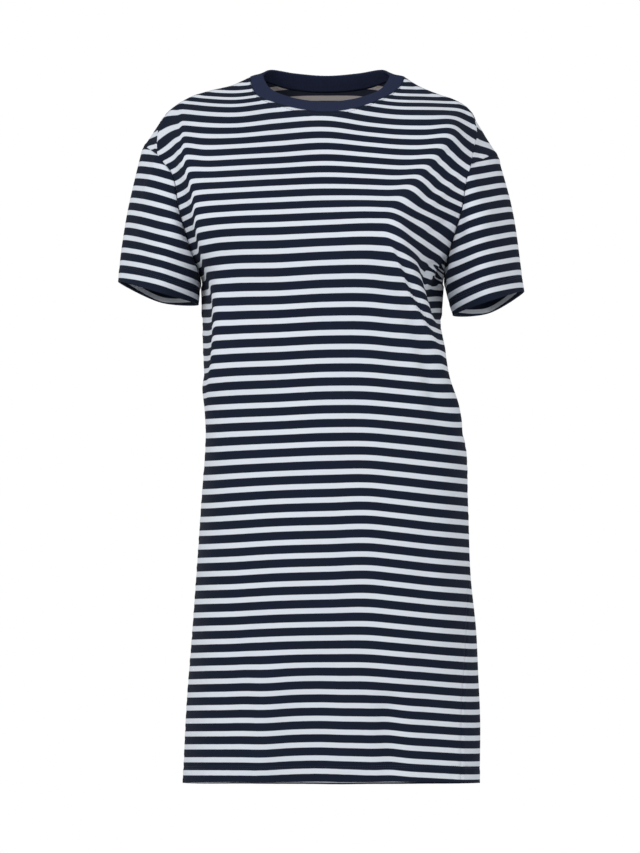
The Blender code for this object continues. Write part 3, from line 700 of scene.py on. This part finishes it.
BACK_FOLDS = (
    ((-0.15, -0.11), (-0.118, -0.27), 0.006, 0.016, 0.0085),
    ((0.142, -0.11), (0.104, -0.28), -0.006, 0.016, 0.009),
    ((-0.11, -0.25), (-0.072, -0.43), 0.006, 0.018, -0.007),
    ((0.098, -0.26), (0.05, -0.45), -0.006, 0.018, -0.0075),
    ((-0.05, -0.33), (-0.03, -0.56), 0.004, 0.022, 0.006),
    ((0.03, -0.35), (0.062, -0.64), -0.004, 0.02, 0.0055),
    ((0.11, -0.4), (0.128, -0.85), 0.004, 0.026, 0.008),
    ((-0.096, -0.52), (-0.11, -0.86), -0.004, 0.028, 0.008),
    ((0.01, -0.66), (0.018, -0.865), 0.003, 0.026, -0.007),
)
BACK_CREASES = (
    ((-0.158, -0.15), (-0.132, -0.215), 0.003, 0.006, -0.0024),
    ((0.152, -0.15), (0.124, -0.22), -0.003, 0.006, -0.0026),
    ((-0.14, -0.225), (-0.11, -0.26), 0.002, 0.005, 0.002),
    ((0.136, -0.23), (0.1, -0.262), -0.002, 0.005, 0.0022),
    ((-0.08, -0.3), (-0.02, -0.345), 0.005, 0.01, 0.0024),
    ((0.086, -0.31), (0.018, -0.362), -0.005, 0.01, 0.0026),
    ((-0.064, -0.35), (-0.006, -0.385), 0.004, 0.009, -0.002),
    ((0.06, -0.37), (0.004, -0.402), -0.004, 0.009, -0.0022),
    ((0.0, -0.06), (0.004, -0.18), 0.006, 0.02, -0.0016),
    ((-0.06, -0.56), (-0.068, -0.82), 0.004, 0.018, -0.0022),
    ((0.084, -0.56), (0.09, -0.82), -0.004, 0.018, -0.0022),
)

ARM = BODY_STEPS  # the row of the underarm
back = panel(RINGS, BACK_NAMES, BACK_SECTIONS, NECK_SEAM_BACK)
for side in (0, -1):
    seam = (front[:ARM + 1, side] + back[:ARM + 1, side]) / 2.0
    front[:ARM + 1, side] = back[:ARM + 1, side] = seam


# Over the shoulder tips the back's stripes are counted from the shoulder seam, whose tip they cross steeply
SHOULDER_STARTS = ((0, 0.0134), (-1, 0.0363))  # the side, and the first white stripe's place up the seam
SEAM_STRIPE = 0.0195  # a stripe repeat along the seam near its tip
SEAM_TURN = 0.08  # how far up the seam that lasts
TIP_REACH = 0.07  # and how far down the back
MATCH_REACH = 0.22  # the share of the back's width over which its stripes meet the front's


def back_stripes(grid, front_numbers):
    """Stripes counted up the slope of the cloth from the hem, which meet the front's at the side seams."""
    normals = grid_normals(grid, -FORWARD)
    slope = unit(UP - normals * (normals @ UP)[:, :, None])
    rise = (np.diff(grid, axis=0) * unit(slope[1:] + slope[:-1])).sum(axis=2)
    climbed = np.concatenate([np.zeros_like(rise[:1]), np.cumsum(rise, axis=0)])
    numbers = front_numbers[0].mean() - climbed / PITCH
    columns = np.arange(grid.shape[1])
    for edge in (0, -1):
        match = front_numbers[:ARM + 1, edge] - numbers[:ARM + 1, edge]
        match = np.concatenate([match, np.full(ARMHOLE_STEPS, match[-1])])
        away = np.abs(columns - columns[edge]) / len(columns)
        numbers = numbers + match[:, None] * ridge(away, MATCH_REACH)[None, :]
    down = up_lengths(grid[::-1])[::-1]
    along = run_along(grid[-1])
    for edge, first in SHOULDER_STARTS:
        seam = np.abs(along - along[edge])
        near = np.clip((SEAM_TURN - seam) / SEAM_TURN, 0.0, 1.0)
        off = (first - seam) / SEAM_STRIPE - numbers[-1]
        off -= np.round((off * near).sum() / near.sum())
        numbers = numbers + (off * near)[None, :] * ridge(down, TIP_REACH)
    return numbers


def dressed(name, grid, folds, creases, towards, seed, numbers):
    """A finished body panel: folds, edges, thickness, finish, the hem's wear and the painted highlight on
    fold crests.
    """
    # the second value is the painted highlight on the crests of the folds
    grid, wear_and_highlight = body_panel(grid, folds, creases, towards, seed)
    values = np.stack([cloth_across(grid), -PITCH * numbers, wear_and_highlight], axis=2)
    points, normals, carried, up = with_edges(np.concatenate([grid, values], axis=2), towards)
    in_hem = up.mean(axis=1) < HEM_DEPTH
    cloth, hem_rows = carried[:, :, :2], int(in_hem.sum())
    piece = shell(name, points, normals, np.where(in_hem, HEM_WALL, WALL), cloth, turned_up(cloth, hem_rows),
                  hem_rows, (jersey_face, jersey_reverse))
    mark_wear_and_highlight(piece, carried[:, :, 2], up)
    return piece, grid, points, normals


front_numbers = front_stripes(front)
back_numbers = back_stripes(back, front_numbers)
front_panel, front_grid, front_points, front_normals = dressed(
    "front_panel", front, FRONT_FOLDS, FRONT_CREASES, FORWARD, 11, front_numbers)
back_panel, back_grid, back_points, back_normals = dressed(
    "back_panel", back, BACK_FOLDS, BACK_CREASES, -FORWARD, 23, back_numbers)
for piece, node in ((front_panel, "front"), (back_panel, "back")):
    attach(piece, "root")
    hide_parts(node)

# Sleeves
# Short set-on sleeves with the same stripes running round them, cuffs turned up and twin-needled. Each
# is a slack tube that hangs a little proud of a straight run from the armhole to the cuff.
CUFF_DEPTH = 0.02
SLEEVE_STEPS = 56
CUFF_STEPS = 12
CUFFS = {
    "sleeve_right": ((-0.153, 0.002, -0.277), (-0.198, -0.06, -0.2645),
                     (-0.2505, 0.002, -0.249), (-0.202, 0.058, -0.272)),
    "sleeve_left": ((0.155, 0.002, -0.29), (0.194, -0.06, -0.2755),
                    (0.2415, 0.002, -0.261), (0.202, 0.058, -0.285)),
}
SLEEVE_FULLNESS = (0.0, 0.012, 0.004, 0.01)  # how proud it hangs, at quarters of the way round
SLEEVE_SEEDS = {"sleeve_right": 12, "sleeve_left": 11}
SLEEVE_SLACK = (0.11, 0.0008)
# the sleeve crease height that takes the full painted highlight, and how much
SLEEVE_HIGHLIGHT = (0.004, 0.4)
SLEEVE_FADE = 0.012  # how far from the seam and cuff a crease reaches its full height
CUFF_CREASED = 0.3  # the share of a crease that runs out to the cuff's edge
SLEEVE_STRIPE = 0.0152  # a stripe repeat along the sleeve, as it lies
STRIPE_SAG = {"sleeve_right": 0.0045, "sleeve_left": 0.0025}  # how far stripes sag at the front
SAG_RISE = 0.06  # how far up the sleeve that is reached
FIRST_STRIPE = 0.0095  # from the cuff's edge to the first white stripe's middle
# Creases, from (part of the way round, height up the sleeve) to the same, then bow, width and height
SLEEVE_CREASES = {
    "sleeve_right": (
        ((0.05, 0.03), (0.3, 0.075), 0.004, 0.007, 0.0022),
        ((0.03, 0.05), (0.24, 0.11), 0.004, 0.007, -0.002),
        ((0.2, 0.06), (0.42, 0.125), 0.005, 0.01, 0.0026),
        ((0.3, 0.02), (0.48, 0.07), 0.004, 0.01, -0.0016),
        ((0.62, 0.04), (0.84, 0.095), -0.004, 0.009, 0.0024),
        ((0.7, 0.02), (0.95, 0.06), -0.004, 0.008, -0.002),
    ),
    "sleeve_left": (
        ((0.04, 0.028), (0.27, 0.085), 0.004, 0.007, 0.0024),
        ((0.08, 0.02), (0.33, 0.058), 0.003, 0.007, -0.002),
        ((0.24, 0.07), (0.45, 0.12), 0.005, 0.01, 0.0022),
        ((0.6, 0.05), (0.82, 0.09), -0.004, 0.009, -0.0022),
        ((0.72, 0.03), (0.93, 0.07), -0.004, 0.008, 0.0022),
    ),
}


def closed_curve(points, places):
    """Read the closed curve through points at fractions of its length, from the first point."""
    points = np.asarray(points, float)
    looped = np.concatenate([points[-2:], points, points[:3]])
    knots = run_along(looped)
    fine = smooth(knots, looped, np.linspace(knots[2], knots[2 + len(points)], CURVE_DETAIL * len(places)))
    run = run_along(fine)
    return read_along(places * run[-1], run, fine)


def tube_normals(grid):
    """Outward normals of a closed tube of rings."""
    return grid_normals(grid, grid - grid.mean(axis=1, keepdims=True), closed=True)


def sleeve(name, armhole):
    """A sleeve as rings of points, cuff to armhole seam, and how far round each column is."""
    top_index = int(np.argmax(np.abs(armhole[:, 0])))
    run = run_along(np.concatenate([armhole, armhole[:1]]))
    part = run[:-1] / run[-1]
    top = part[top_index]
    round_arm = np.where(part < top, 0.5 * part / top, 0.5 + 0.5 * (part - top) / (1.0 - top))
    cuff = closed_curve(CUFFS[name], round_arm)
    fullness = np.interp(round_arm, np.linspace(0.0, 1.0, 5), SLEEVE_FULLNESS + SLEEVE_FULLNESS[:1])
    hem = CUFF_DEPTH / np.linalg.norm(armhole - cuff, axis=1)
    below = np.linspace(np.zeros_like(hem), hem, CUFF_STEPS + 1)[:-1]
    steps = np.concatenate([below, np.linspace(hem, np.ones_like(hem), SLEEVE_STEPS + 1)])[:, :, None]
    straight = cuff * (1.0 - steps) + armhole * steps
    return straight + fullness[None, :, None] * np.sin(np.pi * steps) * tube_normals(straight), round_arm


def sleeve_piece(name, armhole):
    """A finished sleeve, its outer grid and its normals."""
    grid, round_arm = sleeve(name, armhole)
    cuff = np.array(CUFFS[name])
    slope = unit(np.cross(cuff[2] - cuff[0], cuff[1] - cuff[3]))
    up_arm = (grid - cuff.mean(axis=0)) @ (slope * np.sign(slope[2]))
    girth = np.linalg.norm(np.roll(grid[0], -1, axis=0) - grid[0], axis=1).sum()
    around = np.broadcast_to(round_arm, up_arm.shape) * girth
    place = np.stack([around, up_arm], axis=2)
    scaled = [((a[0] * girth, a[1]), (b[0] * girth, b[1]), bow, width, height)
              for a, b, bow, width, height in SLEEVE_CREASES[name]]
    up = up_lengths(grid)
    to_seam = up[-1:] - up
    free = np.clip(to_seam / SLEEVE_FADE, 0.0, 1.0) * np.clip(up / SLEEVE_FADE, CUFF_CREASED, 1.0)
    creases = fold_heights(place, scaled)
    relief = creases * free + slack(place, SLEEVE_SEEDS[name], *SLEEVE_SLACK) * free
    relief += seam_relief(to_seam, around) + hem_dents(up)
    grid = grid + tube_normals(grid) * relief[:, :, None]
    out = tube_normals(grid)
    sag = STRIPE_SAG[name] * np.sin(2.0 * math.pi * round_arm) ** 2 * np.clip(up_arm / SAG_RISE, 0.0, 1.0)
    numbers = (up_arm + sag - FIRST_STRIPE) / SLEEVE_STRIPE
    cloth = np.stack([around, numbers * PITCH], axis=2)
    seam_corner = cloth[:, :1].copy()
    seam_corner[:, :, 0] = girth
    cloth = np.concatenate([cloth, seam_corner], axis=1)
    thickness = np.where(np.arange(len(grid)) <= CUFF_STEPS, HEM_WALL, WALL)
    piece = shell(f"set_on_{name}", grid, out, thickness, cloth, turned_up(cloth, CUFF_STEPS), CUFF_STEPS,
                  (jersey_face, jersey_reverse), closed=True)
    # painted highlight on the sleeve's crease crests, plus real wear at the cuff's edge
    mark_wear_and_highlight(piece, crest_highlight(creases, *SLEEVE_HIGHLIGHT), up)
    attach(piece, "root")
    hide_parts(name)
    return piece, grid, out


armholes = {
    "sleeve_right": np.concatenate([front_grid[ARM:, 0], back_grid[:ARM:-1, 0][1:]]),
    "sleeve_left": np.concatenate([front_grid[ARM:, -1], back_grid[:ARM:-1, -1][1:]]),
}
sleeves = {name: sleeve_piece(name, armhole) for name, armhole in armholes.items()}

# Twin-needled stitching
# The hem and cuffs are turned up and held by two close rows of navy thread; one row holds the neck seam's
# allowance down beside the neckband. Each stitch lies a little into the jersey at its ends.
STITCH = 0.0028  # one stitch, with the gap after it
THREAD = 0.00024  # the thread's half thickness
THREAD_PROUD = 1.3  # how much higher than wide it stands
STITCH_FILL = 0.8  # the share of a stitch that is thread
NECK_ROW = 0.005  # out from the neckband
THREAD_DARK = (0.014, 0.0175, 0.04, 1.0)
THREAD_PALE = (0.026, 0.032, 0.064, 1.0)

thread = Finish("navy_thread", Roughness=0.7, Specular_IOR_Level=0.35, Sheen_Weight=0.05)
thread.into("Base Color", thread.mix(thread.noise(2400.0, 1.0), THREAD_DARK, THREAD_PALE))

bpy.ops.object.select_all(action="DESELECT")
bpy.ops.mesh.primitive_uv_sphere_add(segments=6, ring_count=5, radius=THREAD)
one_stitch = bpy.context.object
stitch_shape = np.array([vertex.co for vertex in one_stitch.data.vertices])
stitch_faces = [list(face.vertices) for face in one_stitch.data.polygons]
bpy.data.objects.remove(one_stitch, do_unlink=True)


def row_at(points, normals, distances, distance):
    """The line across the columns of a grid where the distance from an edge is the one given."""
    line = [[np.interp(distance, distances[:, c], values[:, c, axis]) for c in range(points.shape[1])]
            for values in (points, normals) for axis in range(3)]
    line = np.array(line)
    return line[:3].T, unit(line[3:].T)


def stitching(name, lines):
    """One piece of stitches laid along lines of points on the cloth."""
    placed, faces = [], []
    for points, normals in lines:
        run = run_along(points)
        starts = np.arange(0.5 * STITCH, run[-1] - 1.5 * STITCH, STITCH)
        ends = starts + STITCH_FILL * STITCH
        laid = ((starts, points), (ends, points), (starts, normals))
        for first, last, out in zip(*(read_along(at, run, values) for at, values in laid)):
            along = unit(last - first)
            out = unit(out - along * (out @ along))
            side = np.cross(out, along)
            length = np.linalg.norm(last - first) / 2.0
            shape = stitch_shape @ np.stack([side, out * THREAD_PROUD, along * length / THREAD])
            faces += [[number + len(placed) * len(stitch_shape) for number in face] for face in stitch_faces]
            placed.append((first + last) / 2.0 + shape)
    mesh = bpy.data.meshes.new(name)
    mesh.from_pydata(np.concatenate(placed).tolist(), [], faces)
    mesh.materials.append(thread.material)
    mesh.shade_smooth()
    piece = in_scene(name, mesh)
    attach(piece, "root")
    return piece


def panel_stitching(name, points, normals):
    """A body panel's two hem rows and its row below the neckband."""
    lines = [row_at(points, normals, up_lengths(points), height) for height in HEM_ROWS]
    shoulder = EXTRA_COLUMNS + SHOULDER_STEPS
    neck = slice(shoulder, points.shape[1] - shoulder)
    down = up_lengths(points[::-1])[:, neck]
    lines.append(row_at(points[::-1, neck], normals[::-1, neck], down, NECK_ROW))
    return stitching(name, lines)


def cuff_stitching(name, grid, out):
    """A sleeve's two cuff rows."""
    looped = [np.concatenate([values, values[:, :1]], axis=1) for values in (grid, out)]
    return stitching(name, [row_at(*looped, up_lengths(looped[0]), height) for height in HEM_ROWS])


# Each piece with its stitches, and the size and area of its flat cut as far as it shows
right, left = sleeves["sleeve_right"], sleeves["sleeve_left"]
stitched = {
    front_panel: (panel_stitching("front_panel_stitching", front_points, front_normals),
                  (0.490, 0.885), 0.368),
    back_panel: (panel_stitching("back_panel_stitching", back_points, back_normals), (0.530, 0.890), 0.418),
    right[0]: (cuff_stitching("set_on_sleeve_right_stitching", *right[1:]), (0.495, 0.157), 0.0422),
    left[0]: (cuff_stitching("set_on_sleeve_left_stitching", *left[1:]), (0.470, 0.160), 0.0445),
}

# Neckband
# A strip of navy one-and-one rib folded double, stretched round the neckline and sewn to it by its two raw
# edges. It stands up a little at the back and lies nearly flat in front. Its ribs run across the band.
RIB_WALL = 0.0026
RIB_COLUMNS = 4  # points to each rib
RIB_RELIEF = 0.0002
RING_TIMES = 6  # how many times finer than the neck seam the band is cut
BAND_STEPS = 9  # up its outside
TURN_STEPS = 6  # over its folded edge
INNER_STEPS = 8  # down its inside
BAND_CROWN = 0.0005  # how far its outside bulges
BAND_DEPTH = 0.02
TURN_SHARE = 0.15  # the folded edge's own part of that depth
WHOLE_SHARE = 2.2  # the way round the band, in depths
BAND_NAVY = (0.015, 0.0205, 0.05, 1.0)
# the paler navy of the rib's painted highlight and its random mottling
BAND_NAVY_PALE = (0.026, 0.034, 0.07, 1.0)
NECK_MOUTH_FRONT = ((-0.0755, 0.018, 0.005), (-0.0735, 0.006, -0.0035), (-0.0655, -0.01, -0.016),
                    (-0.045, -0.024, -0.0262), (0.0, -0.0335, -0.0335), (0.046, -0.022, -0.0262),
                    (0.067, -0.008, -0.016), (0.0765, 0.007, -0.0035), (0.079, 0.018, 0.004))
NECK_MOUTH_BACK = ((-0.0755, 0.018, 0.005), (-0.066, 0.046, 0.013), (-0.037, 0.063, 0.0105),
                   (0.002, 0.068, 0.008), (0.041, 0.063, 0.0105), (0.07, 0.046, 0.013),
                   (0.079, 0.018, 0.004))
NECK = slice(SHOULDER_STEPS, SHOULDER_STEPS + NECK_STEPS + 1)
neck_seam = np.concatenate([front_grid[-1, NECK], back_grid[-1, NECK][::-1][1:-1]])
mouth_back = evenly(NECK_MOUTH_BACK, NECK_STEPS)[::-1]
neck_mouth = np.concatenate([evenly(NECK_MOUTH_FRONT, NECK_STEPS), mouth_back[1:-1]])


def ring_finer(ring, times):
    """A closed ring of points with times as many, on the straight runs between them."""
    places = np.arange(len(ring) * times) / times
    low = places.astype(int)
    part = (places - low)[:, None]
    return ring[low] * (1.0 - part) + ring[(low + 1) % len(ring)] * part


def rib_finish():
    """Navy rib, paler on its raised ribs and stitches: a painted highlight, with random mottling."""
    finish = Finish("navy_rib", Metallic=0.0, Specular_IOR_Level=0.06, Sheen_Weight=0.02, Sheen_Roughness=0.5)
    over, up = finish.cloth_place()
    crest = over.from_middle() * 2.0
    course = (up * (1.0 / COURSE) + crest * 0.5).from_middle() * 2.0
    cloudy, fleck = finish.noise(26.0, 4.0), finish.noise(1100.0, 1.0)
    # paler on the raised ribs, a painted highlight, and unevenly with random mottling
    pale = (crest * 0.35 + cloudy * 0.35 + fleck * 0.35 + course * 0.1 - 0.2).clamped()
    finish.into("Base Color", finish.mix(pale, BAND_NAVY, BAND_NAVY_PALE))
    finish.into("Roughness", (cloudy * 0.1 + 0.82).clamped())
    finish.raised(crest * 0.6 + (1.0 - course * course) * 0.4 + fleck * 0.5, 0.4)
    return finish.material


def rib_rise(s):
    """How far the ribs stand at a part of the way up: a little at the seam, fully from a fifth up."""
    return ribs * min(1.0, 4.0 * s + 0.2)


low_edge, high_edge = ring_finer(neck_seam, RING_TIMES), ring_finer(neck_mouth, RING_TIMES)
band_width = np.linalg.norm(high_edge - low_edge, axis=1, keepdims=True)
up_band = (high_edge - low_edge) / band_width
along_band = unit(np.roll(low_edge, -1, axis=0) - np.roll(low_edge, 1, axis=0))
band_out = unit(np.cross(along_band, up_band))
from_centre = low_edge - low_edge.mean(axis=0) + 0.05 * UP
band_out = band_out * np.sign((from_centre * band_out).sum(axis=1).mean())
ribs = np.cos(2.0 * math.pi * np.arange(len(low_edge)) / RIB_COLUMNS)[:, None] * RIB_RELIEF
half = RIB_WALL / 2.0
flat_width = band_width - half
rings, ups = [], []
for s in np.linspace(0.0, 1.0, BAND_STEPS + 1)[:-1]:
    crown = BAND_CROWN * math.sin(math.pi * s)
    rings.append(low_edge + up_band * flat_width * s + band_out * (crown + rib_rise(s)))
    ups.append(s)
for turn in np.linspace(0.0, math.pi, TURN_STEPS + 1):
    middle = low_edge + up_band * flat_width - band_out * half
    rings.append(middle + (band_out * math.cos(turn) + up_band * math.sin(turn)) * (half + ribs))
    ups.append(1.0 + turn / math.pi * TURN_SHARE)
for s in np.linspace(1.0, 0.0, INNER_STEPS + 1)[1:]:
    rings.append(low_edge + up_band * flat_width * s - band_out * (RIB_WALL + rib_rise(s)))
    ups.append(2.0 + TURN_SHARE - s)
band = np.stack(rings)
number = np.arange(band[:, :, 0].size).reshape(band.shape[:2])
number = np.pad(number, ((0, 1), (0, 1)), mode="wrap")
count = (np.arange(number.shape[1]) / RIB_COLUMNS)[None, :] * np.ones((number.shape[0], 1))
height = np.array(ups + [WHOLE_SHARE])[:, None] * BAND_DEPTH * np.ones((1, number.shape[1]))
cloth = np.stack([count, height], axis=2).reshape(-1, 2)
corners = grid_faces(np.arange(number.size).reshape(number.shape))
neckband = cloth_piece("rib_neckband", band.reshape(-1, 3), grid_faces(number), corners, cloth, band_out[0],
                       (rib_finish(),))
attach(neckband, "root")
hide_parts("neckband")

# Floor, light and camera
# A pale floor 1.36 m below the shoulders, soft light from the front and above, and the camera level in
# front, at the picture's distance and framing.
FLOOR_Z = -1.36
FLOOR_REACH = 2.6
FLOOR_GREYS = ((0.86, 0.86, 0.86, 1.0), (0.9, 0.9, 0.9, 1.0))
SKY_STRENGTH = 0.58  # of the light all round
BACKDROP_STRENGTH = 1.0  # of the white that the camera sees
LENS = 139.5  # millimetres, on a sensor of the width below
SENSOR = 36.0

floor_mesh = bpy.data.meshes.new("studio_floor")
floor_corners = [(x * FLOOR_REACH, y * FLOOR_REACH, FLOOR_Z) for x, y in ((-1, -1), (1, -1), (1, 1), (-1, 1))]
floor_mesh.from_pydata(floor_corners, [], [(0, 1, 2, 3)])
pale = Finish("pale_floor", Roughness=0.9, Specular_IOR_Level=0.1)
pale.into("Base Color", pale.mix(pale.noise(3.0, 3.0), *FLOOR_GREYS))
floor_mesh.materials.append(pale.material)
floor = in_scene("studio_floor", floor_mesh)

world = bpy.data.worlds.new("soft_studio")
world.use_nodes = True
sky = world.node_tree
surroundings = sky.nodes["Background"]
backdrop = sky.nodes.new("ShaderNodeBackground")
for background, strength in ((surroundings, SKY_STRENGTH), (backdrop, BACKDROP_STRENGTH)):
    background.inputs["Color"].default_value = (1.0, 1.0, 1.0, 1.0)
    background.inputs["Strength"].default_value = strength
seen = sky.nodes.new("ShaderNodeLightPath")
either = sky.nodes.new("ShaderNodeMixShader")
sky.links.new(seen.outputs["Is Camera Ray"], either.inputs[0])
sky.links.new(surroundings.outputs[0], either.inputs[1])
sky.links.new(backdrop.outputs[0], either.inputs[2])
sky.links.new(either.outputs[0], sky.nodes["World Output"].inputs["Surface"])
bpy.context.scene.world = world
bpy.context.scene.view_settings.view_transform = "Standard"


def soft_light(name, place, aim, size, power):
    """A large square area light."""
    data = bpy.data.lights.new(name, "AREA")
    data.shape = "SQUARE"
    data.size = size
    data.energy = power
    light = in_scene(name, data)
    light.location = place
    light.rotation_mode = "QUATERNION"
    light.rotation_quaternion = Vector(np.array(aim) - np.array(place)).to_track_quat("-Z", "Y")


soft_light("key_light", (-1.6, -2.6, 1.2), (0.0, 0.0, -0.35), 1.6, 50.0)
soft_light("fill_light", (2.2, -2.2, 0.3), (0.0, 0.0, -0.45), 1.8, 16.0)

camera_data = bpy.data.cameras.new("camera")
camera_data.sensor_fit = "AUTO"
camera_data.sensor_width = SENSOR
camera_data.lens = LENS
camera = in_scene("camera", camera_data)
camera.location = (EYE_X, -EYE_DISTANCE, EYE_Z)
camera.rotation_euler = (math.pi / 2.0, 0.0, 0.0)
bpy.context.scene.camera = camera
